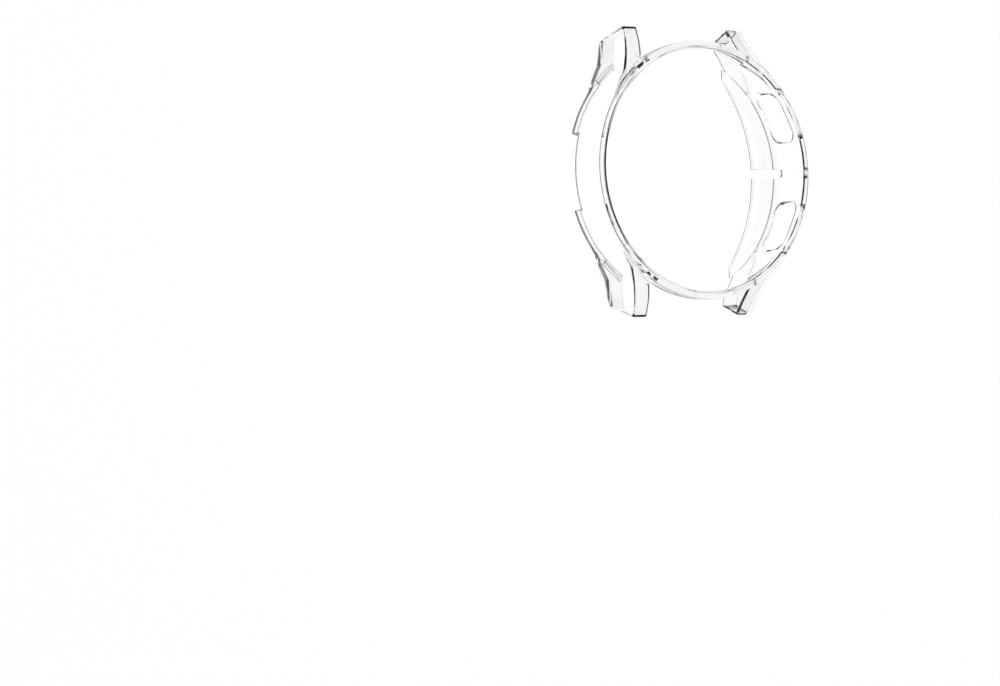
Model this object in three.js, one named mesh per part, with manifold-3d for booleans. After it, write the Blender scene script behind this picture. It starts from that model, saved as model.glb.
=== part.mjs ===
// Bumper case for a round 40 mm wrist watch: a bezel ring, two side walls, four lug guards and four rear lips.
// The real case is one clear elastomer moulding. It is divided here along the lines where it bends.
// Millimetres. +Z points to the watch face, +Y to twelve o'clock and +X to the buttons.
// The case lies on its back, on the rear corners of the four lug guards, with z = 0 under them.

import * as THREE from "three";
import { mergeVertices } from "three/addons/utils/BufferGeometryUtils.js";
import Module from "manifold-3d";

// Watch that the case fits, and the clearances
const watchDiameter = 40;
const watchClearance = 0.1;
const bodyHeight = 7.3;
const flexGap = 0.3;

// Bezel ring: it reaches in over the edge of the watch
const bezelOverlap = 0.4;
const bezelThickness = 1.2;
const beadRound = 0.55;
const openingRound = 0.25;
const beadProud = 0.05;
const bandDepth = 1.3;
const bandThickness = 0.85;

// Side walls
const sideWall = 0.85;
const rearRound = 0.6;
const wallEndAngle = 42.7;

// Button windows in the right wall
const windowStart = 4.9;
const windowLength = 8.8;
const windowHeight = 5.3;
const windowCorner = 1.9;
const windowLedge = 0.6;

// Rear lips
const lipThickness = 0.7;
const lipWidth = 4.2;
const lipEdgeRadius = 24.4;
const lipEnd = 10.3;
const slitWidth = 1.5;
const slitRise = 1.8;
const tabStart = 6.2;
const tabHeight = 1.9;
const hookReach = 0.5;

// Lug guards
const guardReach = 2.55;
const guardWall = 0.85;
const tipWidth = 23.84;
const sideStraight = 6.5;
const tipFront = 5.1;
const strapWidthAtTip = 18.6;
const guardDrop = 1.4;
const guardFoot = 1.1;
const endLean = 1.9;
const flangeSlopeLength = 3.55;
const frontSlopeShare = 0.56;
const sideSlopeShare = 0.336;
const strapFlareShare = 0.2;
const flangeFlareShare = 0.45;
const tipLeanShare = 0.1;
const sideLeaveAngle = 35.3;

// Extra length of every cutting shape
const overrun = 4;

// Fineness of the round shapes
const ringSegments = 96;
const arcSegments = 40;
const cornerSegments = 6;

// Radii
const bodyRadius = watchDiameter / 2 + watchClearance;
const wallRadius = bodyRadius + sideWall;
const ringRadius = wallRadius + beadProud;
const openingRadius = bodyRadius - bezelOverlap;
const tipY = ringRadius + guardReach;
const wallReach = wallRadius * Math.sin(THREE.MathUtils.degToRad(wallEndAngle));
const reach = tipY + overrun;

// Levels above the rear corners of the guards
const lipRear = guardDrop;
const lipFront = lipRear + lipThickness;
const shoulder = lipFront + bodyHeight;
const ringFront = shoulder + bezelThickness;
const bandRear = shoulder - bandDepth;
const wallTop = shoulder - flexGap;
const tabRoot = lipRear + tabHeight;

const wasm = await Module();
wasm.setup();

// Turns a closed geometry into a solid that can be joined and cut.
function toSolid(geometry) {
  const bare = geometry.clone();
  bare.deleteAttribute("normal");
  bare.deleteAttribute("uv");
  const merged = mergeVertices(bare);
  const vertProperties = new Float32Array(merged.attributes.position.array);
  const triVerts = new Uint32Array(merged.index.array);
  return new wasm.Manifold(new wasm.Mesh({ numProp: 3, vertProperties, triVerts }));
}

// Turns a solid back into a geometry.
function toGeometry(solid) {
  const mesh = solid.getMesh();
  const geometry = new THREE.BufferGeometry();
  geometry.setAttribute("position", new THREE.BufferAttribute(new Float32Array(mesh.vertProperties), 3));
  geometry.setIndex(new THREE.BufferAttribute(new Uint32Array(mesh.triVerts), 1));
  geometry.computeVertexNormals();
  return geometry;
}

// Mirrors a geometry left to right, front to back, or both, and keeps its faces pointing out.
function mirrored(geometry, alongX, alongY) {
  const copy = geometry.clone();
  copy.scale(alongX, alongY, 1);
  if (alongX * alongY < 0) {
    const index = copy.index.array;
    for (let corner = 0; corner < index.length; corner += 3) {
      const first = index[corner];
      index[corner] = index[corner + 1];
      index[corner + 1] = first;
    }
  }
  copy.computeVertexNormals();
  return copy;
}

// Lathe solid about +Z from a closed profile of radius and height.
function turned(profile) {
  const closed = [...profile, profile[0]];
  const lathe = new THREE.LatheGeometry(closed, ringSegments);
  lathe.rotateX(Math.PI / 2);
  return toSolid(lathe);
}

// Solid with a plan outline, between two levels.
function upright(shape, low, high) {
  const options = { depth: high - low, bevelEnabled: false, curveSegments: arcSegments };
  const geometry = new THREE.ExtrudeGeometry(shape, options);
  geometry.translate(0, 0, low);
  return toSolid(geometry);
}

// Box between two corners.
function block(low, high) {
  const size = high.map((value, axis) => value - low[axis]);
  const middle = high.map((value, axis) => (value + low[axis]) / 2);
  const geometry = new THREE.BoxGeometry(size[0], size[1], size[2]);
  geometry.translate(middle[0], middle[1], middle[2]);
  return toSolid(geometry);
}

// Points of a quarter circle, from one angle to another.
function quarter(centreX, centreY, radius, from, to) {
  const points = [];
  for (let step = 0; step <= cornerSegments; step += 1) {
    const angle = from + ((to - from) * step) / cornerSegments;
    points.push(new THREE.Vector2(centreX + radius * Math.cos(angle), centreY + radius * Math.sin(angle)));
  }
  return points;
}

// Polygon whose sides lie a distance inside those of a counter-clockwise one.
function inset(points, distance) {
  const lines = points.map((point, place) => {
    const next = points[(place + 1) % points.length];
    const along = next.clone().sub(point).normalize();
    const inward = new THREE.Vector2(-along.y, along.x);
    return { from: point.clone().addScaledVector(inward, distance), along };
  });
  return lines.map((line, place) => {
    const before = lines[(place + lines.length - 1) % lines.length];
    const apart = line.from.clone().sub(before.from);
    const turn = before.along.cross(line.along);
    return before.from.clone().addScaledVector(before.along, apart.cross(line.along) / turn);
  });
}

// Bezel ring: a rounded bead with the screen opening, and the bands that join it across the strap gaps.
function bezelRing() {
  const beadCentre = ringRadius - beadRound;
  const lipCentre = openingRadius + openingRound;
  const profile = [
    new THREE.Vector2(openingRadius, shoulder),
    new THREE.Vector2(ringRadius, shoulder),
    ...quarter(beadCentre, ringFront - beadRound, beadRound, 0, Math.PI / 2),
    ...quarter(lipCentre, ringFront - openingRound, openingRound, Math.PI / 2, Math.PI),
  ];
  const bandProfile = [
    new THREE.Vector2(ringRadius - bandThickness, bandRear),
    new THREE.Vector2(ringRadius, bandRear),
    new THREE.Vector2(ringRadius, shoulder + bezelThickness / 2),
    new THREE.Vector2(ringRadius - bandThickness, shoulder + bezelThickness / 2),
  ];
  const bandHalf = strapEdgeAtRing() - flexGap;
  const strapGap = block([-bandHalf, -reach, -overrun], [bandHalf, reach, ringFront + overrun]);
  const bands = turned(bandProfile).intersect(strapGap);
  return turned(profile).add(bands);
}

// Where the guard's strap edge meets the wall circle, as a distance from the middle.
function strapEdgeAtRing() {
  const tipX = strapWidthAtTip / 2;
  const lineAtZero = tipX + strapFlareShare * tipY;
  const a = 1 + strapFlareShare ** 2;
  const b = -2 * lineAtZero * strapFlareShare;
  const c = lineAtZero ** 2 - wallRadius ** 2;
  const y = (-b + Math.sqrt(b * b - 4 * a * c)) / (2 * a);
  return lineAtZero - strapFlareShare * y;
}

// Curved wall on the right, between a rear level and the flexure under the bezel ring.
function curvedWall(rear) {
  const profile = [
    new THREE.Vector2(bodyRadius, rear),
    ...quarter(wallRadius - rearRound, rear + rearRound, rearRound, -Math.PI / 2, 0),
    new THREE.Vector2(wallRadius, wallTop),
    new THREE.Vector2(bodyRadius, wallTop),
  ];
  const side = block([0, -wallReach, rear], [reach, wallReach, wallTop]);
  return turned(profile).intersect(side);
}

// Plan of a guard: its side leaves the wall circle along a tangent, bends, and runs straight to the tip.
function guardPlan(radius, tipX) {
  const leave = THREE.MathUtils.degToRad(sideLeaveAngle);
  const start = new THREE.Vector2(radius * Math.cos(leave), radius * Math.sin(leave));
  const tip = new THREE.Vector2(tipX, tipY);
  const bend = new THREE.Vector2(tip.x + sideSlopeShare * sideStraight, tip.y - sideStraight);
  const third = (bend.y - start.y) / 3;
  const startHandle = new THREE.Vector2(start.x - Math.tan(leave) * third, start.y + third);
  const bendHandle = new THREE.Vector2(bend.x + sideSlopeShare * third, bend.y - third);
  const shape = new THREE.Shape();
  shape.moveTo(start.x, start.y);
  shape.bezierCurveTo(startHandle.x, startHandle.y, bendHandle.x, bendHandle.y, bend.x, bend.y);
  shape.lineTo(tip.x, tip.y);
  shape.lineTo(tip.x - sideSlopeShare * overrun, tip.y + overrun);
  shape.lineTo(0, tip.y + overrun);
  shape.lineTo(0, start.y);
  shape.closePath();
  return shape;
}

// Side profile of a guard: sloping front, slanted end wall, a short flat foot and a sloping rear flange.
function guardProfile() {
  const frontAtTop = tipY - (wallTop - tipFront) / frontSlopeShare;
  const footEnd = tipY - endLean;
  const root = wallRadius * Math.sin(THREE.MathUtils.degToRad(sideLeaveAngle));
  return [
    new THREE.Vector2(root, lipRear),
    new THREE.Vector2(footEnd - guardFoot - flangeSlopeLength, lipRear),
    new THREE.Vector2(footEnd - guardFoot, 0),
    new THREE.Vector2(footEnd, 0),
    new THREE.Vector2(tipY, tipFront),
    new THREE.Vector2(frontAtTop, wallTop),
    new THREE.Vector2(root, wallTop),
  ];
}

// Solid that a profile of length and height sweeps across the whole width.
function swept(points) {
  const shape = new THREE.Shape(points);
  const geometry = new THREE.ExtrudeGeometry(shape, { depth: reach, bevelEnabled: false });
  geometry.applyMatrix4(new THREE.Matrix4().set(0, 0, 1, 0, 1, 0, 0, 0, 0, 1, 0, 0, 0, 0, 0, 1));
  return toSolid(geometry);
}

// Upright solid of a guard plan whose side leans out behind its front crease, more so near the tip.
function leaning(shape) {
  const options = { depth: ringFront + overrun + overrun, bevelEnabled: false, curveSegments: arcSegments };
  const geometry = new THREE.ExtrudeGeometry(shape, options);
  geometry.translate(0, 0, -overrun);
  const place = geometry.attributes.position;
  const root = wallRadius * Math.sin(THREE.MathUtils.degToRad(sideLeaveAngle));
  const length = tipY - root;
  for (let point = 0; point < place.count; point += 1) {
    const along = Math.max(0, (place.getY(point) - root) / length);
    const crease = tipFront + frontSlopeShare * (tipY - place.getY(point));
    const lean = tipLeanShare * along * (crease - place.getZ(point));
    place.setX(point, place.getX(point) + lean);
  }
  return toSolid(geometry);
}

// Plan of what is cut away beside a guard: its edge flares from where it meets the end of the guard.
function strapSide(edgeAtEnd, endY, flareShare) {
  const shape = new THREE.Shape();
  shape.moveTo(-overrun, 0);
  shape.lineTo(edgeAtEnd + flareShare * endY, 0);
  shape.lineTo(edgeAtEnd - flareShare * overrun, endY + overrun);
  shape.lineTo(-overrun, endY + overrun);
  shape.closePath();
  return shape;
}

// Upper right lug guard with the stretch of side wall beside it, for a rear rim of a given inner radius.
function guardShell(rimRadius) {
  const tipX = tipWidth / 2;
  const profile = guardProfile();
  const outside = leaning(guardPlan(wallRadius, tipX)).intersect(swept(profile));
  const hollowProfile = inset(profile, guardWall);
  const root = profile[0].y;
  hollowProfile[0] = new THREE.Vector2(root - overrun, hollowProfile[0].y);
  hollowProfile[hollowProfile.length - 1] = new THREE.Vector2(root - overrun, wallTop - guardWall);
  const hollow = leaning(guardPlan(wallRadius - guardWall, tipX - guardWall)).intersect(swept(hollowProfile));
  const edgeAtTip = strapWidthAtTip / 2;
  const footEnd = tipY - endLean;
  const strapGap = upright(strapSide(edgeAtTip, tipY, strapFlareShare), -overrun, ringFront + overrun);
  const flangeGap = upright(strapSide(edgeAtTip, footEnd, flangeFlareShare), -overrun, lipFront + flexGap);
  const rim = new THREE.Shape();
  rim.absarc(0, 0, rimRadius, 0, 2 * Math.PI);
  const watch = new THREE.Shape();
  watch.absarc(0, 0, bodyRadius, 0, 2 * Math.PI);
  return outside
    .subtract(hollow)
    .subtract(strapGap)
    .subtract(flangeGap)
    .subtract(upright(rim, -overrun, lipFront))
    .subtract(upright(watch, lipFront, ringFront + overrun));
}

// Lug guard alone, beyond the end of the side wall.
function lugGuard(rimRadius) {
  const beyond = block([0, wallReach, -overrun], [reach, reach, ringFront + overrun]);
  return toGeometry(guardShell(rimRadius).intersect(beyond));
}

// Both ends of a side wall, where the guards' sides begin, down to a rear level.
function wallEnds(rear) {
  const middle = block([0, -wallReach, rear], [reach, wallReach, ringFront + overrun]);
  const upper = guardShell(bodyRadius);
  const lower = toSolid(mirrored(toGeometry(upper), 1, -1));
  return upper.add(lower).intersect(middle);
}

// Rounded button opening that runs through the right wall, square to its middle.
function buttonWindow(side) {
  const halfLength = windowLength / 2;
  const high = wallTop - windowLedge;
  const low = high - windowHeight;
  const corner = Math.min(windowCorner, windowHeight / 2, halfLength);
  const shape = new THREE.Shape();
  shape.moveTo(-halfLength + corner, low);
  shape.lineTo(halfLength - corner, low);
  shape.absarc(halfLength - corner, low + corner, corner, -Math.PI / 2, 0);
  shape.lineTo(halfLength, high - corner);
  shape.absarc(halfLength - corner, high - corner, corner, 0, Math.PI / 2);
  shape.lineTo(-halfLength + corner, high);
  shape.absarc(-halfLength + corner, high - corner, corner, Math.PI / 2, Math.PI);
  shape.lineTo(-halfLength, low + corner);
  shape.absarc(-halfLength + corner, low + corner, corner, Math.PI, 1.5 * Math.PI);
  const options = { depth: wallRadius + overrun, bevelEnabled: false, curveSegments: cornerSegments };
  const geometry = new THREE.ExtrudeGeometry(shape, options);
  geometry.rotateX(Math.PI / 2);
  geometry.rotateZ(Math.PI / 2);
  const angle = Math.asin(windowStart / wallRadius) + Math.asin(halfLength / wallRadius);
  geometry.rotateZ(side * angle);
  return toSolid(geometry);
}

// Round-ended relief slit that cuts the rear edge of the right wall between the two lips.
function reliefSlit() {
  const half = slitWidth / 2;
  const end = lipFront + slitRise - half;
  const shape = new THREE.Shape();
  shape.moveTo(-half, -overrun);
  shape.lineTo(half, -overrun);
  shape.lineTo(half, end);
  shape.absarc(0, end, half, 0, Math.PI);
  shape.closePath();
  const options = { depth: reach, bevelEnabled: false, curveSegments: 2 * cornerSegments };
  const geometry = new THREE.ExtrudeGeometry(shape, options);
  geometry.rotateX(Math.PI / 2);
  geometry.rotateZ(Math.PI / 2);
  return toSolid(geometry);
}

// Right side wall, with two button windows and the relief slit.
function rightSideWall() {
  const wall = curvedWall(lipRear)
    .add(wallEnds(lipRear))
    .subtract(buttonWindow(1))
    .subtract(buttonWindow(-1))
    .subtract(reliefSlit());
  return toGeometry(wall);
}

// Left side wall, plain, with its rear edge at the root of the two tabs. It is built on the right and mirrored.
function leftSideWall() {
  const keep = block([0, -reach, tabRoot], [reach, reach, ringFront + overrun]);
  const wall = curvedWall(lipRear).add(wallEnds(lipRear)).intersect(keep);
  return mirrored(toGeometry(wall), -1, 1);
}

// Upper right rear lip: a crescent inside the wall, from the slit to the lug.
function rightLip() {
  const outer = bodyRadius - flexGap;
  const edgeCentre = bodyRadius - lipWidth - lipEdgeRadius;
  const disc = new THREE.Shape();
  disc.absarc(0, 0, outer, 0, 2 * Math.PI);
  const edge = new THREE.Shape();
  edge.absarc(edgeCentre, 0, lipEdgeRadius, 0, 2 * Math.PI);
  const keep = block([lipEnd, slitWidth / 2, -overrun], [reach, reach, ringFront]);
  const lip = upright(disc, lipRear, lipFront).subtract(upright(edge, -overrun, ringFront)).intersect(keep);
  return toGeometry(lip);
}

// Upper left rear tab, built on the right and mirrored: a short wall with a small inward hook.
function leftTab() {
  const high = tabRoot - flexGap;
  const profile = [
    new THREE.Vector2(bodyRadius - hookReach, lipRear),
    ...quarter(wallRadius - rearRound, lipRear + rearRound, rearRound, -Math.PI / 2, 0),
    new THREE.Vector2(wallRadius, high),
    new THREE.Vector2(bodyRadius, high),
    new THREE.Vector2(bodyRadius, lipFront),
    new THREE.Vector2(bodyRadius - hookReach, lipFront),
  ];
  const keep = block([0, tabStart, -overrun], [reach, wallReach - flexGap, ringFront]);
  return toGeometry(turned(profile).intersect(keep));
}

// Clear elastomer of one sub-part.
function clearElastomer(tint) {
  return new THREE.MeshStandardMaterial({
    color: tint,
    roughness: 0.1,
    metalness: 0,
    transparent: true,
    opacity: 0.4,
  });
}

const bumperCase = new THREE.Group();

// Adds a named sub-part with its own material.
function addPart(name, geometry, tint) {
  const part = new THREE.Mesh(geometry, clearElastomer(tint));
  part.name = name;
  bumperCase.add(part);
}

const clearTint = 0xf4f5f1;
const lipTint = 0xeff1ee;
const guardTint = 0xf2f3ef;

addPart("bezel_ring", toGeometry(bezelRing()), clearTint);
addPart("left_side_wall", leftSideWall(), clearTint);
addPart("right_side_wall", rightSideWall(), clearTint);

const rightGuard = lugGuard(bodyRadius);
const leftGuard = lugGuard(bodyRadius - hookReach);
const lip = rightLip();
const tab = leftTab();
const halves = [["upper", 1], ["lower", -1]];
for (const [end, alongY] of halves) {
  addPart(`${end}_right_lug_guard`, mirrored(rightGuard, 1, alongY), guardTint);
  addPart(`${end}_left_lug_guard`, mirrored(leftGuard, -1, alongY), guardTint);
  addPart(`${end}_right_rear_lip`, mirrored(lip, 1, alongY), lipTint);
  addPart(`${end}_left_rear_tab`, mirrored(tab, -1, alongY), lipTint);
}

export default bumperCase;
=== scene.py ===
# Clear elastomer bumper case for a round wrist watch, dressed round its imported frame.
# Lengths are millimetres in the frame's axes, with z = 0 under the rear corners of the lug guards.
# The walls, guards, lips and tabs are worked out on the upper right quarter and mirrored.

import math

import bpy
import numpy as np
from mathutils import Matrix, Vector


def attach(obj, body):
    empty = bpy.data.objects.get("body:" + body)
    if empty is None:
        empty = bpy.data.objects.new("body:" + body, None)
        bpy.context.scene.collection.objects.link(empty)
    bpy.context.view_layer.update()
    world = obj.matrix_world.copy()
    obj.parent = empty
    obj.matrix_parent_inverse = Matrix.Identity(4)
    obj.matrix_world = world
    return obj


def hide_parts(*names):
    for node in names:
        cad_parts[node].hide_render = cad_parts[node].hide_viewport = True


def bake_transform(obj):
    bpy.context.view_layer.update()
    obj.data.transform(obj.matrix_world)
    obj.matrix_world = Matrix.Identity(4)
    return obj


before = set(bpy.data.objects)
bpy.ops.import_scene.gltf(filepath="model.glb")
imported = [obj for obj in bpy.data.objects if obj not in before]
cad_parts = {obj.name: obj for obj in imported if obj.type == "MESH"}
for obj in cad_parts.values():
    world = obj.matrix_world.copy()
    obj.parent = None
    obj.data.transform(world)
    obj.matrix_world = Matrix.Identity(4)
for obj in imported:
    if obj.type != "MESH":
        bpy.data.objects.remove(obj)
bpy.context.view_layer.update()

METRES = 0.001

# Radii and levels of the ring and the walls
BODY_R = 20.1
WALL = 0.85
WALL_R = BODY_R + WALL
RING_R = 21.0
OPENING_R = 19.7
LIP_REAR = 1.4
LIP_FRONT = 2.1
TAB_ROOT = 3.3
SHOULDER = 9.4
RING_FRONT = 10.6
BAND_REAR = 8.1

# Section of the ring: foot of its outer face, edge of its front, raised rim, opening edge, sloped underside
RING_FOOT_RISE = 0.15
RING_EDGE_R = 20.92
RING_EDGE_Z = 10.3
RIM_FOOT_R = 20.3
RIM_FOOT_Z = 10.42
RIM_TOP_R = 20.15
OPENING_CUT_WIDTH = 0.14
OPENING_CUT_DEPTH = 0.26
UNDERCUT = 0.204
RING_CUTS = (0.06, 0.06, 0.12, 0.08, 0.08, 0.08, 0.1, 0.1, 0.05)
RING_STEPS = (4, 2, 2, 3, 5, 5, 4, 4, 2, 4, 2, 4, 3, 4, 5, 3, 3, 2, 4)
# How far the ring reaches into the walls, and how far its stretches stay short of their ends
RING_SINK = 0.004
RING_END_DEGREES = 0.02

# Plan of a guard's crease: it leaves the wall circle, eases into a slant and bends to the tip
LEAVE_DEGREES = 35.3
LEAVE_Y = WALL_R * math.sin(math.radians(LEAVE_DEGREES))
EASE_Y = 13.3
BEND_Y = 17.0
SLANT = 0.548
TIP_X = 12.0
TIP_Y = 23.5
TIP_SLOPE = 0.166

# Front face of a guard, the level of its crease, and the foot of the ring on it. PLATE is how thick the face
# is along z
TIP_Z = 5.08
FRONT_SLOPE = 0.56
CREASE_START_Z = 8.9
CREASE_TOP_Z = 9.68
CREASE_KNEE = 0.3
FOOT_DROP = 0.2
FOOT_LEAST_DROP = 0.03
PLATE = 0.97

# Strap edge of a guard's front face
STRAP_X = 9.17
STRAP_SLOPE = 0.044
STRAP_BEND = 0.035
STRAP_Y = 18.3
STRAP_EDGE = 0.8

# Rear flange and end wall of a guard. From RAKE_START_Y on, the rear of a section stays behind its front
FLANGE_X = 9.7
FLANGE_SLOPE = 0.26
FLANGE_Y = 21.6
FLANGE_MEET_Y = 16.88
FLANGE_DROP_Y = 17.0
LEFT_FLANGE = 0.45
FOOT_Y = 20.5
REAR_TIP_Y = 22.05
REAR_LEAN = 0.45
RAKE_START_Y = 14.3

# Lengths before and after LEAVE_Y over which the sections turn from wall to guard
EASE_BEFORE = 1.0
FRONT_EASE = 1.6
HOLLOW_EASE = 2.4
STRAIGHT_EASE = 4.0

# The hollow of a guard ends END_INSET before its last full section at the front, and REAR_INSET after it at
# the rear. It leaves the sections from INSET_START_Y on
INSET_START_Y = 18.0
END_INSET = 0.45
REAR_INSET = 0.3

# Roundings. The cuts are the lengths that a section's corners take of both their runs. No rounding takes
# more than ROUND_LIMIT_SHARE of its run or wall
FOOT_ROUND = 0.25
CREASE_ROUND = 0.38
REAR_ROUND = 0.12
INNER_FOOT_ROUND = 0.2
INNER_ROUND = 0.18
OUTER_CUTS = (FOOT_ROUND, CREASE_ROUND, REAR_ROUND)
INNER_CUTS = (INNER_FOOT_ROUND, INNER_ROUND, INNER_ROUND)
EDGE_ROUND = 0.17
STRAP_ROUND = 0.05
TIP_ROUND = 0.24
REAR_TIP_ROUND = 0.9
INNER_TIP_ROUND = 0.12
ROUND_LIMIT_SHARE = 0.45

# Corners sharper than this stay crisp in the shading
CRISP_ANGLE = math.radians(50)

# Last full section of a guard
LAST_Y = TIP_Y - TIP_ROUND
LAST_REAR_Y = REAR_TIP_Y - REAR_TIP_ROUND

# Right lips: free edge, taper towards it, and groove at the root. FREE_EDGE is a flange's thickness at its
# edge, and BORE_FOOT_RISE is how far over the lips the bore's straight side ends
LIP_EDGE_R = 24.4
LIP_EDGE_CENTRE = -8.75
LIP_END_X = 10.3
LIP_EDGE_ROUND = 0.06
LIP_TAPER_WIDTH = 1.1
LIP_TAPER_DROP = 0.48
FREE_EDGE_SHARE = 2 / 7
FREE_EDGE = WALL * FREE_EDGE_SHARE
ROOT_LEVEL = LIP_REAR + FREE_EDGE
ROOT_WIDTH = 0.38
ROOT_STEP = 0.2
ROOT_FADE = 1.2
BORE_FOOT_RISE = 0.6

# Relief slit between the right lips, and how far the seam of wall and lips runs into it
SLIT_HALF = 0.77
SLIT_TOP = 3.8
SLIT_ROUND = 0.12
SLIT_FLAT = 0.01
SLIT_CORNER = SLIT_HALF - SLIT_FLAT
SLIT_OVERRUN = 0.5
SLIT_SEAM_REACH = 0.3

# Button windows, with their ends in degrees from the middle of the wall
WINDOW_START = 14.2
WINDOW_END = 39.2
WINDOW_LOW = 3.2
WINDOW_HIGH = 8.55
WINDOW_CORNER = 1.85
WINDOW_ROUND = 0.26

# Shapes that cut the wall: their reach beyond it, and the steps that round their mouths
CUTTER_OVERRUN = 1.2
MOUTH_STEPS = 6
MOUTH_DEGREES = 12.5

# Left tabs, with the relief between them, and the inward hook. Where the left wall stops at TAB_ROOT, its
# last CUT_RUN takes the flange's place in a section
TAB_START_Y = 6.2
TAB_END_Y = 14.2
TAB_GAP = 0.005
TAB_INNER_ROUND = 0.15
TAB_ROUND_SHARE = 0.7
HOOK_R = 19.65
HOOK_EASE_SHARE = 0.6
CUT_RUN = 2.5

# Rib inside each left guard
RIB_START_DEGREES = 44.4
RIB_INNER_R = 19.8
RIB_OUTER_R = 20.9
RIB_INNER_END_X = 11.15
RIB_OUTER_END_X = 11.55
RIB_LIFT = 0.03
RIB_TOP = 2.35
RIB_ROUND = 0.12

# Places in a section's corners
CREASE_CORNER = 2
REAR_CORNER = 3

# Samples along a section: front edge, foot of the ring, front face, crease, side, rear corner, flange
STEPS_RING = 2
STEPS_FOOT = 3
STEPS_FRONT = 4
STEPS_CREASE = 6
STEPS_SIDE = 14
STEPS_REAR = 6
STEPS_FLANGE = STEPS_RING + STEPS_FOOT + STEPS_FRONT
SECTION_STEPS = (STEPS_RING, STEPS_FOOT, STEPS_FRONT, STEPS_CREASE, STEPS_SIDE, STEPS_REAR, STEPS_FLANGE)
SECTION_SAMPLES = sum(SECTION_STEPS) + 1
CREASE_SAMPLE = STEPS_RING + STEPS_FOOT + STEPS_FRONT + STEPS_CREASE // 2
REAR_SAMPLE = CREASE_SAMPLE + STEPS_CREASE + STEPS_SIDE

# Stations along the wall and a guard. A step in the shape has a station on each side of it
STRAP_GAP = 0.006
TAB_END_GAP = 0.001
WALL_STATIONS = 25
LEFT_RUN = (12.7, 13.3, 13.8, TAB_END_Y - TAB_END_GAP, TAB_END_Y + TAB_END_GAP, 14.6, 15.1, 15.6)
RIGHT_RUN = (12.7, 13.3, 13.9, 14.5, 15.1, 15.6)
GUARD_RUN = (16.1, 16.6, 17.1, 17.6, 18.0, STRAP_Y, STRAP_Y + STRAP_GAP, 18.8)
HOOD_START_Y = 19.3
HOOD_STATIONS = 10

# Counts of steps
TIP_STEPS = 5
RIM_STEPS = 3
LIP_ROWS = 60
LIP_COLUMNS = 10
LIP_ROOT_STEPS = 6
LIP_TAPER_STEPS = 6
TAB_ROWS = 24
TAB_STEPS = (6, 6, 5)
RIB_ROWS = 22
RIB_CORNER_STEPS = 3
WINDOW_STEPS = 10
SLIT_STEPS = 8

# Places nearer than NEAR are taken as one, and TINY stands in for a length of nothing in a division
NEAR = 0.015
TINY = 1e-9

# Material slots of a skin
CLEAR_SLOT = 0
SEAM_SLOT = 1

# A line across each right lip, at this angle from the bore and out to this radius, whose two end points are
# worked out below
LIP_BLEND_DEGREES = 30.4
LIP_BLEND_R = 17.71

# Clear elastomer, with faint waves whose scale is per metre and whose depth is in metres
CLEAR_TINT = (0.957, 0.957, 0.947)
# The ribs' tint is painted shade: the same clear elastomer, made darker where the ribs sit in the guards'
# hollows
RIB_PAINTED_SHADE_TINT = (0.86, 0.86, 0.83)
REFRACTION = 1.49
GLOSS_ROUGHNESS = 0.03
WAVE_SCALE = 260
WAVE_DETAIL = 2
WAVE_STRENGTH = 0.06
WAVE_DEPTH = 0.0006
SHADOW_TINT = (0.97, 0.97, 0.97)

# Stage, in metres and watts. The floor lies just under the guards' rear tips at full splay
FLOOR_Z = -0.0019
FLOOR_HALF = 1.5
FLOOR_SHADE = 0.93
LAMP_HEIGHT = 2.4
LAMP_SIZE = 2.8
LAMP_POWER = 88

# Dark cards in the white sky. Each edge fades between two elevations or azimuths, in degrees
HORIZON_EDGE = (34, 38)
CARD_LOW_EDGE = (36, 41)
CARD_HIGH_EDGE = (56, 60)
CARD_SIDE_EDGE = (50, 58)

# Camera of the photograph: its axes, its distance in metres from the point AIM_Z up the watch axis, and the
# picture in pixels, with the place in it of the camera's own axis
RIGHT = (0.8065, -0.0381, 0.5901)
UP = (-0.0094, 0.997, 0.0773)
BACK = (-0.5912, -0.0679, 0.8037)
CAMERA_DISTANCE = 0.577
AIM_Z = 10.0
FOCAL_PIXELS = 3570.0
AXIS_X_PIXELS = 705.308
AXIS_Y_PIXELS = 169.44
WIDTH_PIXELS = 1000
HEIGHT_PIXELS = 686
SENSOR_WIDTH = 36
CLIP_START = 0.01
CLIP_END = 10


# Lines and sections


def smooth(low, high, value):
    """0 below low, 1 above high, and a smooth step between them."""
    share = min(1.0, max(0.0, (value - low) / (high - low)))
    return share * share * (3 - 2 * share)


def mix(first, second, share):
    return np.asarray(first, float) * (1 - share) + np.asarray(second, float) * share


def corner_curve(enter, corner, leave, share):
    """Place on the curve that rounds a corner."""
    return (1 - share) ** 2 * enter + 2 * share * (1 - share) * corner + share**2 * leave


def rounded_line(corners, cuts, steps):
    """Points along straight runs with rounded corners.

    A cut is the length that a corner takes of both its runs, and steps counts run, corner, run and so on.
    """
    corners = np.asarray(corners, float)
    runs = np.linalg.norm(corners[1:] - corners[:-1], axis=1)
    points = []
    leave = corners[0]
    for place in range(1, len(corners) - 1):
        corner = corners[place]
        before = (corners[place - 1] - corner) / max(runs[place - 1], TINY)
        after = (corners[place + 1] - corner) / max(runs[place], TINY)
        cut = min(cuts[place - 1], ROUND_LIMIT_SHARE * runs[place - 1], ROUND_LIMIT_SHARE * runs[place])
        enter = corner + before * cut
        count = steps[2 * place - 2]
        for step in range(count):
            share = step / count
            if place > 1:
                share = 0.5 - 0.5 * math.cos(math.pi * share)
            points.append(mix(leave, enter, share))
        leave = corner + after * cut
        count = steps[2 * place - 1]
        for step in range(count):
            points.append(corner_curve(enter, corner, leave, step / count))
    count = steps[-1]
    for step in range(count + 1):
        points.append(mix(leave, corners[-1], step / count))
    return np.array(points)


def circle_x(radius, y):
    return math.sqrt(max(0.0, radius * radius - y * y))


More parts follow.
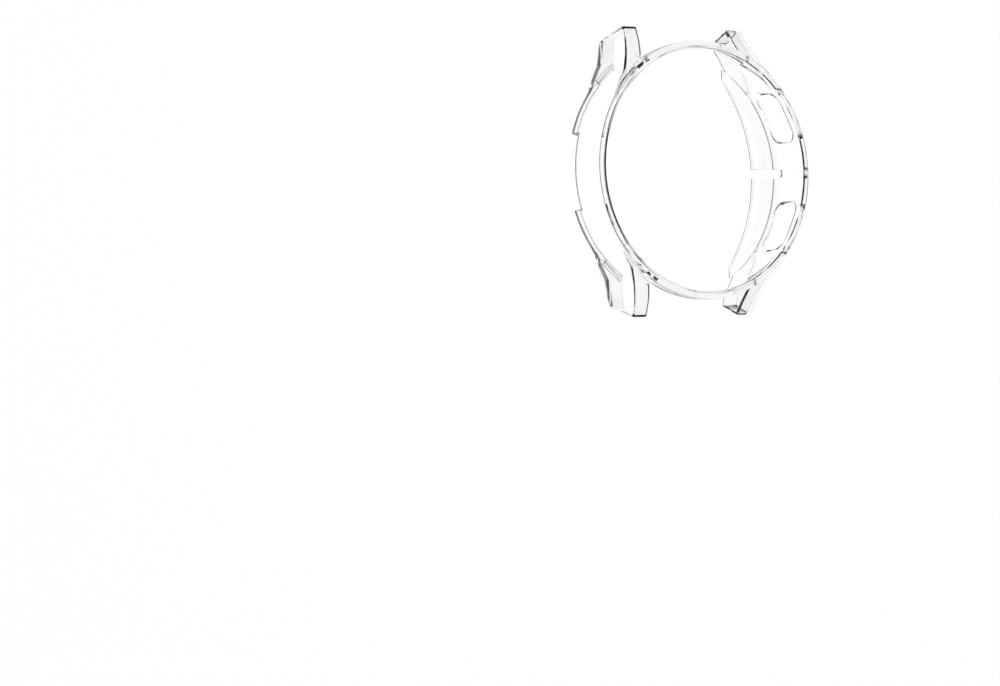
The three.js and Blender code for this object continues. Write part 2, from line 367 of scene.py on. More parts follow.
def crease_x(y):
    """Plan of the crease: the wall circle, a slanting run, and a long bend to the tip."""
    if y <= LEAVE_Y:
        return circle_x(WALL_R, y)
    if y >= BEND_Y:
        slope = TIP_SLOPE + (SLANT - TIP_SLOPE) * (TIP_Y - y) / (TIP_Y - BEND_Y)
        return TIP_X + (TIP_Y - y) * (TIP_SLOPE + slope) / 2
    x = TIP_X + (TIP_Y - BEND_Y) * (TIP_SLOPE + SLANT) / 2
    if y >= EASE_Y:
        return x + (BEND_Y - y) * SLANT
    x += (BEND_Y - EASE_Y) * SLANT
    start_slope = LEAVE_Y / circle_x(WALL_R, LEAVE_Y)
    slope = SLANT + (start_slope - SLANT) * (EASE_Y - y) / (EASE_Y - LEAVE_Y)
    return x + (EASE_Y - y) * (SLANT + slope) / 2


def side_normal(y):
    """Plan normal of the side surface at a distance along the case."""
    step = 0.01
    slope = (crease_x(y + step) - crease_x(y - step)) / (2 * step)
    normal = np.array([1.0, -slope])
    return normal / np.linalg.norm(normal)


def hollow_share(y):
    """How far the inside has turned from the bore into a guard's hollow."""
    return smooth(LEAVE_Y - EASE_BEFORE, LEAVE_Y + HOLLOW_EASE, y)


def front_share(y):
    """How far the front has turned from the ring's foot into a guard's sloping face."""
    return smooth(LEAVE_Y - EASE_BEFORE, LEAVE_Y + FRONT_EASE, y)


def straight_share(y):
    """How far the sections have turned from along the radius to straight across the case."""
    return smooth(LEAVE_Y, LEAVE_Y + STRAIGHT_EASE, y)


def wall_offset(y):
    """Plan step from the inner to the outer side surface."""
    normal = side_normal(y)
    return mix(normal * WALL, [WALL / normal[0], 0], straight_share(y))


def strap_x(y):
    """Free edge of a guard's front face, on its strap side."""
    along = TIP_Y - y
    return STRAP_X + STRAP_SLOPE * along + STRAP_BEND * along * along


def front_z(y):
    """Level of a guard's front face."""
    return TIP_Z + FRONT_SLOPE * (TIP_Y - y)


def foot_z(y):
    """Level of the ring's foot: a little under the shoulder, then on the guard's front face."""
    guard_z = min(front_z(y), SHOULDER - FOOT_LEAST_DROP)
    return float(mix(SHOULDER - FOOT_DROP, guard_z, front_share(y)))


def crease_z(y):
    """Level of the crease: it rises along the wall, and then follows the guard's front face down."""
    knee = CREASE_TOP_Z - CREASE_KNEE
    top = front_z(y)
    if top >= knee:
        top = CREASE_TOP_Z - CREASE_KNEE * math.exp((knee - top) / CREASE_KNEE)
    return CREASE_START_Z + (top - CREASE_START_Z) * front_share(y)


def rear_x(y):
    """Plan of the rear corner, which lies under the crease on the wall and outside it on a guard."""
    return crease_x(y) + REAR_LEAN * straight_share(y)


def rear_z(y):
    """Level of the rear, which goes down along a guard from the lips to its foot."""
    share = min(1.0, max(0.0, (y - FLANGE_DROP_Y) / (FOOT_Y - FLANGE_DROP_Y)))
    return LIP_REAR * (1 - share)


def flange_edge(y):
    """Free edge of the rear flange: the body circle, then a line that flares from the tip."""
    if y < FLANGE_MEET_Y:
        inward = WALL * min(y, LEAVE_Y) / WALL_R
        edge_y = y - inward * (1 - smooth(LEAVE_Y, FLANGE_MEET_Y, y))
        return np.array([circle_x(BODY_R, edge_y), edge_y])
    return np.array([FLANGE_X + FLANGE_SLOPE * (FLANGE_Y - y), y])


def root_level(y, free_edge):
    """Front level of the flange's free edge, where the groove at a lip's root starts."""
    step = ROOT_STEP * (1 - smooth(FLANGE_MEET_Y - ROOT_FADE, FLANGE_MEET_Y, y))
    return float(mix(ROOT_LEVEL, rear_z(y) + free_edge + step, hollow_share(y)))


def outer_corners(y, rear_y, front_inset=0.0, rear_inset=0.0):
    """Outer corners of a section: ring edge, foot of the ring, crease, rear corner and flange edge."""
    crease = np.array([crease_x(y) - front_inset, y, crease_z(y) - front_inset])
    rear = np.array([rear_x(rear_y) - rear_inset, rear_y, rear_z(rear_y) + rear_inset])
    flange = np.array([*flange_edge(rear_y), rear_z(rear_y) + rear_inset])
    if y <= STRAP_Y:
        x = circle_x(WALL_R, y)
        ring = np.array([x, y, SHOULDER])
        foot = np.array([x, y, foot_z(y)])
    else:
        ring = np.array([strap_x(y), y, front_z(y) - front_inset])
        foot = ring + np.array([STRAP_EDGE, 0, 0])
    return [ring, foot, crease, rear, flange]


def inner_corners(y, rear_y, flange_thick=WALL, edge_thick=FREE_EDGE):
    """Inner corners of a section, a wall's thickness in from the outer ones."""
    opened = hollow_share(y)
    offset = wall_offset(y)
    rear_offset = wall_offset(rear_y)
    rear_level = float(mix(LIP_FRONT + BORE_FOOT_RISE, rear_z(rear_y) + flange_thick, opened))
    crease = np.array([crease_x(y) - offset[0], y - offset[1], crease_z(y) - PLATE * opened])
    rear = np.array([rear_x(rear_y) - rear_offset[0], rear_y - rear_offset[1], rear_level])
    edge = flange_edge(rear_y)
    flange = np.array([*edge, root_level(edge[1], edge_thick)])
    if y <= STRAP_Y:
        bore_share = BODY_R / WALL_R
        x = circle_x(WALL_R, y) * bore_share
        ring = np.array([x, y * bore_share, SHOULDER])
        foot = np.array([x, y * bore_share, foot_z(y) - PLATE * opened])
    else:
        ring = np.array([strap_x(y), y, front_z(y) - PLATE])
        foot = ring + np.array([STRAP_EDGE, 0, 0])
    return [ring, foot, crease, rear, flange]


def at_level(upper, lower, level):
    """Place at a level between two corners."""
    share = (upper[2] - level) / (upper[2] - lower[2])
    return mix(upper, lower, share)


def cut_short(corners, level):
    """A section whose side ends at a level, without its flange."""
    ring, foot, crease, rear, _ = corners
    return [ring, foot, crease, at_level(crease, rear, level + CUT_RUN), at_level(crease, rear, level)]


def side_stations(left):
    """Outer and inner sections from the middle of a side wall to the tip of its upper guard."""
    flanges = (LEFT_FLANGE, LEFT_FLANGE) if left else (WALL, FREE_EDGE)
    wall_angles = np.radians(np.linspace(0, LEAVE_DEGREES, WALL_STATIONS))
    wall_run = [WALL_R * math.sin(angle) for angle in wall_angles]
    hood_run = np.linspace(HOOD_START_Y, LAST_Y, HOOD_STATIONS)
    outer, inner = [], []
    for y in (*wall_run, *(LEFT_RUN if left else RIGHT_RUN), *GUARD_RUN, *hood_run):
        rake_share = max(0.0, (y - RAKE_START_Y) / (LAST_Y - RAKE_START_Y))
        rear_y = y + (LAST_REAR_Y - LAST_Y) * rake_share
        inset_share = smooth(INSET_START_Y, LAST_Y, y)
        inner_y = y - END_INSET * inset_share if y > STRAP_Y else y
        out_corners = outer_corners(y, rear_y)
        in_corners = inner_corners(inner_y, rear_y + REAR_INSET * inset_share, *flanges)
        if left and y < TAB_END_Y:
            out_corners = cut_short(out_corners, TAB_ROOT)
            in_corners = cut_short(in_corners, TAB_ROOT)
        outer.append(rounded_line(out_corners, OUTER_CUTS, SECTION_STEPS))
        inner.append(rounded_line(in_corners, INNER_CUTS, SECTION_STEPS))
    for step in range(1, TIP_STEPS + 1):
        turn = 0.5 * math.pi * step / TIP_STEPS
        on_share = math.sin(turn)
        in_share = 1 - math.cos(turn)
        y = LAST_Y + TIP_ROUND * on_share
        rear_y = LAST_REAR_Y + REAR_TIP_ROUND * on_share
        corners = outer_corners(y, rear_y, TIP_ROUND * in_share, REAR_TIP_ROUND * in_share)
        outer.append(rounded_line(corners, OUTER_CUTS, SECTION_STEPS))
        grow = INNER_TIP_ROUND * on_share
        shrink = INNER_TIP_ROUND * in_share
        corners = inner_corners(LAST_Y - END_INSET + grow, LAST_REAR_Y + REAR_INSET + grow, *flanges)
        corners[CREASE_CORNER] = corners[CREASE_CORNER] + [-shrink, 0, -shrink]
        corners[REAR_CORNER] = corners[REAR_CORNER] + [-shrink, 0, shrink]
        inner.append(rounded_line(corners, INNER_CUTS, SECTION_STEPS))
    return np.array(outer), np.array(inner)


def end_patch(section):
    """Points of the flat end wall: rows down the side, columns from the strap edge to the side."""
    top = section[: CREASE_SAMPLE + 1]
    bottom = section[REAR_SAMPLE:][::-1]
    side = section[CREASE_SAMPLE : REAR_SAMPLE + 1]
    rows, columns = len(side) - 1, len(top) - 1
    patch = np.zeros((rows + 1, columns + 1, 3))
    for row in range(rows + 1):
        down_share = row / rows
        strap = mix(top[0], bottom[0], down_share)
        straight_side = mix(top[-1], bottom[-1], down_share)
        for column in range(columns + 1):
            across_share = column / columns
            edges = mix(top[column], bottom[column], down_share) + mix(strap, side[row], across_share)
            patch[row, column] = edges - mix(strap, straight_side, across_share)
    return patch


# Meshes


def mirror_points(points, along_x, along_y):
    return np.asarray(points) * np.array([along_x, along_y, 1.0])


class Surface:
    """Faces over numbered points, with an outer and an inner place for each point."""

    def __init__(self):
        self.outer = []
        self.inner = []
        self.faces = []
        self.hidden = set()

    def add(self, outer, inner):
        self.outer.append(np.array(outer, float))
        self.inner.append(np.array(inner, float))
        return len(self.outer) - 1

    def grid(self, numbers, hidden_rows=()):
        """Faces between rows of point numbers. The faces of a hidden row get the seam's material."""
        for row in range(len(numbers) - 1):
            first, second = numbers[row], numbers[row + 1]
            for column in range(len(first) - 1):
                if row in hidden_rows:
                    self.hidden.add(len(self.faces))
                self.faces.append((first[column], first[column + 1], second[column + 1], second[column]))

    def flip(self):
        self.faces = [face[::-1] for face in self.faces]

    def mirror(self, along_x, along_y):
        """Mirror the points along the axes that are given as -1, and keep the faces' fronts outside."""
        self.outer = list(mirror_points(self.outer, along_x, along_y))
        self.inner = list(mirror_points(self.inner, along_x, along_y))
        if along_x * along_y < 0:
            self.flip()


def keep_crisp(mesh):
    """Smooth shading that stops at sharp corners and at the seams."""
    mesh.set_sharp_from_angle(angle=CRISP_ANGLE)
    for face in mesh.polygons:
        if face.material_index == SEAM_SLOT:
            for loop in face.loop_indices:
                mesh.edges[mesh.loops[loop].edge_index].use_edge_sharp = True


def add_object(name, data):
    item = bpy.data.objects.new(name, data)
    bpy.context.scene.collection.objects.link(item)
    return item


def build_mesh(name, points, faces, slots):
    mesh = bpy.data.meshes.new(name)
    mesh.from_pydata((np.asarray(points) * METRES).tolist(), [], faces)
    mesh.polygons.foreach_set("material_index", slots)
    mesh.polygons.foreach_set("use_smooth", [True] * len(faces))
    mesh.update()
    keep_crisp(mesh)
    return add_object(name, mesh)


def rim_direction(place, inside, along, through):
    """Direction that leads off a rim, square to the rim and to the way through it."""
    along = along / max(np.linalg.norm(along), TINY)
    out = place - np.mean(inside, axis=0)
    out = out - along * (out @ along)
    out = out - through * (out @ through)
    return out / max(np.linalg.norm(out), TINY)


def rim_places(top, low, out, through, radius):
    """Places round a rim, from its outer to its inner edge: two arcs, or a straight line for no radius."""
    if radius == 0:
        count = 2 * RIM_STEPS + 1
        return [mix(top, low, step / count) for step in range(1, count)]
    arcs = []
    for edge, sign in ((top, 1), (low, -1)):
        centre = edge - out * radius + sign * through * radius
        arc = []
        for step in range(1, RIM_STEPS + 1):
            turn = 0.5 * math.pi * step / RIM_STEPS
            arc.append(centre + radius * (out * math.sin(turn) - sign * through * math.cos(turn)))
        arcs.append(arc)
    return arcs[0] + arcs[1][::-1]


def build_shell(name, surface, round_of, seam_of):
    """Closed body between the outer and inner places, with a rounded rim.

    round_of gives the rim's radius at a place. seam_of tells whether a face of the rim, given by its two
    outer places and its level, gets the seam's material.
    """
    outer = np.array(surface.outer)
    inner = np.array(surface.inner)
    faces = surface.faces
    edges = [(start, face[(place + 1) % len(face)]) for face in faces for place, start in enumerate(face)]
    known = set(edges)
    border = [(start, end) for start, end in edges if (end, start) not in known]
    on_border = {point for edge in border for point in edge}
    near = {point: set() for point in on_border}
    for face in faces:
        for point in face:
            if point in near:
                near[point].update(other for other in face if other not in on_border)
    after = dict(border)
    before = {end: start for start, end in border}
    count = len(outer)
    vertices = [*outer, *inner]
    rims = {}
    for point in sorted(on_border):
        top, low = outer[point].copy(), inner[point].copy()
        thick = np.linalg.norm(low - top)
        through = (low - top) / thick
        inside = [outer[other] for other in near[point]] or [outer[after[point]], outer[before[point]]]
        out = rim_direction(top, inside, outer[after[point]] - outer[before[point]], through)
        radius = min(round_of(outer[point]), ROUND_LIMIT_SHARE * thick)
        rims[point] = [point]
        for place in rim_places(top, low, out, through, radius):
            rims[point].append(len(vertices))
            vertices.append(place)
        rims[point].append(count + point)
        vertices[point] = top - out * radius
        vertices[count + point] = low - out * radius
    all_faces = [tuple(face) for face in faces]
    all_faces += [tuple(count + point for point in reversed(face)) for face in faces]
    slots = [SEAM_SLOT if place in surface.hidden else CLEAR_SLOT for place in range(len(faces))] * 2
    for start, end in border:
        first, second = rims[start], rims[end]
        for step in range(2 * RIM_STEPS + 1):
            face = (second[step], first[step], first[step + 1], second[step + 1])
            all_faces.append(face)
            level = sum(vertices[point][2] for point in face) / len(face)
            slots.append(SEAM_SLOT if seam_of(outer[start], outer[end], level) else CLEAR_SLOT)
    return build_mesh(name, np.array(vertices), all_faces, slots)


def tube_faces(rows, size):
    """Faces of a closed tube over rows of points, with both its ends."""
    faces = []
    for row in range(rows - 1):
        first, second = row * size, (row + 1) * size
        for place in range(size):
            after = (place + 1) % size
            faces.append((first + place, first + after, second + after, second + place))
    faces.append(tuple(reversed(range(size))))
    faces.append(tuple((rows - 1) * size + place for place in range(size)))
    return faces


# Side walls with their guards


def side_surface(left):
    """Surface of a side wall with both its guards, made on the right and mirrored for the left."""
    full_outer, full_inner = (
        np.concatenate([mirror_points(half[1:], 1, -1)[::-1], half]) for half in side_stations(left)
    )
    surface = Surface()
    numbers = [
        [surface.add(full_outer[row, column], full_inner[row, column]) for column in range(SECTION_SAMPLES)]
        for row in range(len(full_outer))
    ]
    at_step = np.abs(np.abs(full_outer[:, CREASE_SAMPLE, 1]) - TAB_END_Y) < NEAR
    hidden_rows = [row for row in range(len(numbers) - 1) if left and at_step[row] and at_step[row + 1]]
    surface.grid(numbers, hidden_rows)
    for row, flip in ((len(full_outer) - 1, False), (0, True)):
        out_patch = end_patch(full_outer[row])
        in_patch = end_patch(full_inner[row])
        rows, columns = out_patch.shape[:2]
        patch = [[None] * columns for _ in range(rows)]
        for column in range(columns):
            patch[0][column] = numbers[row][column]
            patch[rows - 1][column] = numbers[row][SECTION_SAMPLES - 1 - column]
        for place in range(rows):
            patch[place][columns - 1] = numbers[row][CREASE_SAMPLE + place]
        for place in range(1, rows - 1):
            for column in range(columns - 1):
                patch[place][column] = surface.add(out_patch[place, column], in_patch[place, column])
        surface.grid([line[::-1] for line in patch] if flip else patch)
    if left:
        surface.mirror(-1, 1)
    return surface


def side_skin(name, left):
    """Side wall with both its guards, as one shell."""

    def on_ring(place):
        return abs(place[2] - SHOULDER) < NEAR and abs(place[1]) <= STRAP_Y + NEAR

    def on_rear_seam(place):
        if left:
            return abs(place[2] - TAB_ROOT) < NEAR and TAB_START_Y <= abs(place[1]) <= TAB_END_Y
        on_bore = math.hypot(place[0], place[1]) < BODY_R + NEAR
        return on_bore and SLIT_HALF - SLIT_SEAM_REACH < abs(place[1]) < FLANGE_MEET_Y

    def at_strap(place):
        return abs(abs(place[1]) - STRAP_Y) < NEAR and place[2] > LIP_FRONT

    def at_tab_end(place):
        return left and TAB_START_Y < abs(place[1]) < TAB_END_Y + NEAR and place[2] < TAB_ROOT + NEAR

    def seam_of(start, end, level):
        if not left and on_rear_seam(start) and on_rear_seam(end):
            return level < ROOT_LEVEL
        return any(test(start) and test(end) for test in (on_ring, on_rear_seam, at_strap, at_tab_end))

    def round_of(place):
        if on_ring(place) or on_rear_seam(place):
            return 0.0
        if not left and math.hypot(place[0], place[1]) < BODY_R + NEAR and place[2] < LIP_FRONT:
            return 0.0
        if STRAP_Y < abs(place[1]) < STRAP_Y + NEAR and place[2] > LIP_FRONT:
            return STRAP_ROUND
        return EDGE_ROUND

    return build_shell(name, side_surface(left), round_of, seam_of)


def rounded_outline(length, low, high, corner, steps):
    """Rounded rectangle round the origin of its first axis, anticlockwise, with its outward directions."""
    places, outward = [], []
    # Centre of each corner, and the half turns at which its arc starts
    centres = [
        (length / 2 - corner, low + corner, -0.5),
        (length / 2 - corner, high - corner, 0.0),
        (-length / 2 + corner, high - corner, 0.5),
        (-length / 2 + corner, low + corner, 1.0),
    ]
    for across, up, start in centres:
        for step in range(steps + 1):
            angle = math.pi * (start + 0.5 * step / steps)
            direction = (math.cos(angle), math.sin(angle))
            places.append((across + corner * direction[0], up + corner * direction[1]))
            outward.append(direction)
    return places, outward


def wall_cutter(name, outline, middle, edge_round):
    """Cutting shape that runs through the side wall and rounds both its mouths."""
    places, outward = outline
    mouth = []
    for step in range(MOUTH_STEPS + 1):
        turn = math.radians(MOUTH_DEGREES * step)
        mouth.append((edge_round * (1 - math.sin(turn)), edge_round * (1 - math.cos(turn))))
    stations = [(BODY_R - CUTTER_OVERRUN, CUTTER_OVERRUN)]
    stations += [(BODY_R + depth, grow) for depth, grow in reversed(mouth)]
    stations += [(WALL_R - depth, grow) for depth, grow in mouth]
    stations.append((WALL_R + CUTTER_OVERRUN, CUTTER_OVERRUN))
    points = []
    for radius, grow in stations:
        for (across, up), (out_across, out_up) in zip(places, outward):
            angle = middle + (across + out_across * grow) / WALL_R
            points.append((radius * math.cos(angle), radius * math.sin(angle), up + out_up * grow))
    faces = tube_faces(len(stations), len(places))
    return build_mesh(name, points, faces, [CLEAR_SLOT] * len(faces))


def cut_away(piece, cutters):
    """Cut shapes out of a piece and keep its smooth faces smooth."""
    for cutter in cutters:
        cut = piece.modifiers.new("cut", "BOOLEAN")
        cut.operation = "DIFFERENCE"
        cut.solver = "EXACT"
        cut.object = cutter
        bpy.context.view_layer.update()
        view = bpy.context.evaluated_depsgraph_get()
        mesh = bpy.data.meshes.new_from_object(piece.evaluated_get(view))
        piece.modifiers.clear()
        piece.data = mesh
        bpy.data.objects.remove(cutter)
    keep_crisp(piece.data)


def cut_right_side(piece):
    """Two button windows and the relief slit of the right wall."""
    length = math.radians(WINDOW_END - WINDOW_START) * WALL_R
    middle = math.radians(WINDOW_START + WINDOW_END) / 2
    window = rounded_outline(length, WINDOW_LOW, WINDOW_HIGH, WINDOW_CORNER, WINDOW_STEPS)
    slit = rounded_outline(2 * SLIT_HALF, -SLIT_HALF - SLIT_OVERRUN, SLIT_TOP, SLIT_CORNER, SLIT_STEPS)
    cutters = [wall_cutter("window_cutter", window, sign * middle, WINDOW_ROUND) for sign in (1, -1)]
    cutters.append(wall_cutter("slit_cutter", slit, 0.0, SLIT_ROUND))
    cut_away(piece, cutters)


# Bezel ring


def ring_profile(depth):
    """Section of the bezel ring, as radius and height, anticlockwise from the rear of its outer face."""
    shape = [
        (WALL_R, SHOULDER - depth),
        (WALL_R, SHOULDER),
        (RING_R, SHOULDER + RING_FOOT_RISE),
        (RING_EDGE_R, RING_EDGE_Z),
        (RIM_FOOT_R, RIM_FOOT_Z),
        (RIM_TOP_R, RING_FRONT),
        (OPENING_R + OPENING_CUT_WIDTH, RING_FRONT),
        (OPENING_R, RING_FRONT - OPENING_CUT_DEPTH),
        (OPENING_R, SHOULDER + UNDERCUT),
        (BODY_R, SHOULDER),
        (BODY_R, SHOULDER - depth),
    ]
    corners = np.array([(radius, 0.0, height) for radius, height in shape])
    return rounded_line(corners, RING_CUTS, RING_STEPS)[:, [0, 2]]


def ring_stops():
    """Angles round the ring, each with whether the ring has its deep band there."""
    strap_angle = math.degrees(math.asin(STRAP_Y / WALL_R))
    stops = []
    for start, end, is_deep in (
        (-strap_angle, strap_angle, False),
        (strap_angle, 180 - strap_angle, True),
        (180 - strap_angle, 180 + strap_angle, False),
        (180 + strap_angle, 360 - strap_angle, True),
    ):
        count = round(end - start)
        for step in range(count + 1):
            angle = start + (end - start) * step / count
            if step == 0:
                angle += RING_END_DEGREES
            if step == count:
                angle -= RING_END_DEGREES
            stops.append((math.radians(angle), is_deep))
    return stops


def bezel_skin(name):
    """Bezel ring turned round the watch axis, with deeper bands across the two strap gaps."""
    shallow = ring_profile(RING_SINK)
    deep = ring_profile(SHOULDER - BAND_REAR)
    stops = ring_stops()
    size = len(shallow)
    points, faces, slots = [], [], []
    for angle, is_deep in stops:
        for radius, height in deep if is_deep else shallow:
            points.append((radius * math.cos(angle), radius * math.sin(angle), height))
    for turn, (_, is_deep) in enumerate(stops):
        following = (turn + 1) % len(stops)
        is_end = is_deep != stops[following][1]
        first, second = turn * size, following * size
        for place in range(size):
            after = (place + 1) % size
            faces.append((first + place, second + place, second + after, first + after))
            is_rear = place == size - 1 and not is_deep
            slots.append(SEAM_SLOT if is_rear or is_end else CLEAR_SLOT)
    return build_mesh(name, points, faces, slots)


# Rear lips, tabs and ribs


def lip_section(width):
    """Front of a lip from its root to its free edge, as distances from the wall and levels."""
    full = width - LIP_TAPER_WIDTH
    places = []
    for step in range(LIP_ROOT_STEPS):
        share = step / LIP_ROOT_STEPS
        places.append((ROOT_WIDTH * share, ROOT_LEVEL + (LIP_FRONT - ROOT_LEVEL) * smooth(0, 1, share)))
    for step in range(LIP_COLUMNS):
        places.append((ROOT_WIDTH + (full - ROOT_WIDTH) * step / LIP_COLUMNS, LIP_FRONT))
    for step in range(LIP_TAPER_STEPS + 1):
        share = step / LIP_TAPER_STEPS
        places.append((full + LIP_TAPER_WIDTH * share, LIP_FRONT - LIP_TAPER_DROP * share * share))
    return places


def lip_skin(name, along_y):
    """Rear lip on the right: a crescent plate between the wall and its free edge."""
    start = math.asin(SLIT_HALF / BODY_R)
    end = math.acos(LIP_END_X / BODY_R)
    edge_start = math.asin(SLIT_HALF / LIP_EDGE_R)
    edge_end = math.acos((LIP_END_X - LIP_EDGE_CENTRE) / LIP_EDGE_R)
    surface = Surface()
    numbers = []
    for row in range(LIP_ROWS + 1):
        angle = start + (end - start) * row / LIP_ROWS
        root = np.array([BODY_R * math.cos(angle), BODY_R * math.sin(angle)])
        angle = edge_start + (edge_end - edge_start) * row / LIP_ROWS
        edge = np.array([LIP_EDGE_CENTRE + LIP_EDGE_R * math.cos(angle), LIP_EDGE_R * math.sin(angle)])
        width = np.linalg.norm(edge - root)
        line = []
        for away, level in lip_section(width):
            place = mix(root, edge, away / width)
            end_share = min(1.0, max(0.0, 1 - (place[0] - LIP_END_X) / LIP_TAPER_WIDTH))
            level = min(level, LIP_FRONT - LIP_TAPER_DROP * end_share * end_share)
            line.append(surface.add([*place, level], [*place, LIP_REAR]))
        numbers.append(line)
    surface.grid(numbers)
    surface.flip()
    surface.mirror(1, along_y)

    def on_wall(place):
        return abs(math.hypot(place[0], place[1]) - BODY_R) < NEAR and abs(place[1]) < FLANGE_MEET_Y

    def seam_of(start, end, level):
        return on_wall(start) and on_wall(end)

    def round_of(place):
        return 0.0 if on_wall(place) else LIP_EDGE_ROUND

    return build_shell(name, surface, round_of, seam_of)


def tab_skin(name, along_y):
    """Rear tab on the left: the foot of the wall with a small inward hook."""
    surface = Surface()
    numbers = []
    for row in range(TAB_ROWS + 1):
        y = TAB_START_Y + (TAB_END_Y - TAB_GAP - TAB_START_Y) * row / TAB_ROWS
        crease, rear = outer_corners(y, y)[CREASE_CORNER : REAR_CORNER + 1]
        top = at_level(crease, rear, TAB_ROOT)
        in_top = at_level(*inner_corners(y, y)[CREASE_CORNER : REAR_CORNER + 1], TAB_ROOT)
        reach = side_normal(y)[1] * (BODY_R - HOOK_R + WALL)
        hook_y = rear[1] - reach * (1 - HOOK_EASE_SHARE * smooth(LEAVE_Y, TAB_END_Y, y))
        hook_x = circle_x(HOOK_R, hook_y)
        in_rear = (in_top[0], in_top[1], LIP_FRONT)
        in_hook = (hook_x, hook_y, LIP_FRONT)
        outer_line = rounded_line([top, rear, (hook_x, hook_y, LIP_REAR)], [REAR_ROUND], TAB_STEPS)
        inner_line = rounded_line([in_top, in_rear, in_hook], [TAB_INNER_ROUND], TAB_STEPS)
        numbers.append([surface.add(outer, inner) for outer, inner in zip(outer_line, inner_line)])
    surface.grid(numbers)
    surface.mirror(-1, along_y)
    end_row = {tuple(surface.outer[number]) for number in numbers[-1]}

    def on_root(place):
        return abs(place[2] - TAB_ROOT) < NEAR

    def at_guard(place):
        return tuple(place) in end_row

    def seam_of(start, end, level):
        return (on_root(start) and on_root(end)) or (at_guard(start) and at_guard(end))

    def round_of(place):
        return 0.0 if on_root(place) or at_guard(place) else EDGE_ROUND * TAB_ROUND_SHARE

    return build_shell(name, surface, round_of, seam_of)


def rib_skin(name, along_y):
    """Rib that carries the tab's hook on into the left guard, over the flange."""
    start = math.radians(RIB_START_DEGREES)
    points = []
    for row in range(RIB_ROWS + 1):
        sides = []
        for radius, end_x in ((RIB_INNER_R, RIB_INNER_END_X), (RIB_OUTER_R, RIB_OUTER_END_X)):
            angle = start + (math.acos(end_x / radius) - start) * row / RIB_ROWS
            sides.append((radius * math.cos(angle), radius * math.sin(angle)))
        inner, outer = sides
        low = rear_z(outer[1]) + LEFT_FLANGE + RIB_LIFT
        corners = np.array([(*inner, low), (*outer, low), (*outer, RIB_TOP), (*inner, RIB_TOP)])
        for place, corner in enumerate(corners):
            before = corners[place - 1] - corner
            after = corners[(place + 1) % len(corners)] - corner
            enter = corner + before / np.linalg.norm(before) * RIB_ROUND
            leave = corner + after / np.linalg.norm(after) * RIB_ROUND
            for step in range(RIB_CORNER_STEPS + 1):
                points.append(corner_curve(enter, corner, leave, step / RIB_CORNER_STEPS))
    rows = RIB_ROWS + 1
    faces = tube_faces(rows, len(points) // rows)
    if along_y < 0:
        faces = [face[::-1] for face in faces]
    return build_mesh(name, mirror_points(points, -1, along_y), faces, [CLEAR_SLOT] * len(faces))


# Materials


def blank_material(name):
    """Material with nothing but its output, and that output."""
    material = bpy.data.materials.new(name)
    material.use_nodes = True
    material.node_tree.nodes.clear()
    return material, material.node_tree.nodes.new("ShaderNodeOutputMaterial")


def clear_elastomer(name, tint):
    """Clear moulded elastomer: glossy, faintly uneven, and open to the lamp's light."""
    material, output = blank_material(name)
    nodes, links = material.node_tree.nodes, material.node_tree.links
    surface = nodes.new("ShaderNodeBsdfPrincipled")
    surface.inputs["Base Color"].default_value = (*tint, 1)
    surface.inputs["IOR"].default_value = REFRACTION
    surface.inputs["Transmission Weight"].default_value = 1
    surface.inputs["Roughness"].default_value = GLOSS_ROUGHNESS
    place = nodes.new("ShaderNodeTexCoord")
    waves = nodes.new("ShaderNodeTexNoise")
    waves.inputs["Scale"].default_value = WAVE_SCALE
    waves.inputs["Detail"].default_value = WAVE_DETAIL
    links.new(place.outputs["Object"], waves.inputs["Vector"])
    bump = nodes.new("ShaderNodeBump")
    bump.inputs["Strength"].default_value = WAVE_STRENGTH
    bump.inputs["Distance"].default_value = WAVE_DEPTH
    links.new(waves.outputs["Fac"], bump.inputs["Height"])
    links.new(bump.outputs["Normal"], surface.inputs["Normal"])
    path = nodes.new("ShaderNodeLightPath")
    through = nodes.new("ShaderNodeBsdfTransparent")
    through.inputs["Color"].default_value = (*SHADOW_TINT, 1)
    either = nodes.new("ShaderNodeMixShader")
    links.new(path.outputs["Is Shadow Ray"], either.inputs["Fac"])
    links.new(surface.outputs["BSDF"], either.inputs[1])
    links.new(through.outputs["BSDF"], either.inputs[2])
    links.new(either.outputs["Shader"], output.inputs["Surface"])
    return material


def seam_material(name):
    """Fully transparent, for faces where two stretches of the same moulding meet."""
    material, output = blank_material(name)
    through = material.node_tree.nodes.new("ShaderNodeBsdfTransparent")
    material.node_tree.links.new(through.outputs["BSDF"], output.inputs["Surface"])
    return material


clear = clear_elastomer("clear_elastomer", CLEAR_TINT)
# Darker copy of the clear elastomer for the ribs, as painted shade inside the guards
clear_rib_painted_shade = clear_elastomer("clear_elastomer_rib_painted_shade", RIB_PAINTED_SHADE_TINT)
seam = seam_material("moulding_seam")


# Pieces


def dress(piece, slot_name, *nodes):
    piece.data.materials.append(clear)
    piece.data.materials.append(seam)
    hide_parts(*nodes)


bezel = bezel_skin("bezel_ring_skin")
dress(bezel, "clear_ring", "bezel_ring")
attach(bezel, "bezel")

right = side_skin("right_side_skin", False)
cut_right_side(right)
dress(right, "clear_wall", "right_side_wall", "upper_right_lug_guard", "lower_right_lug_guard")
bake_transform(right)

left = side_skin("left_side_skin", True)
dress(left, "clear_wall", "left_side_wall", "upper_left_lug_guard", "lower_left_lug_guard")
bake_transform(left)

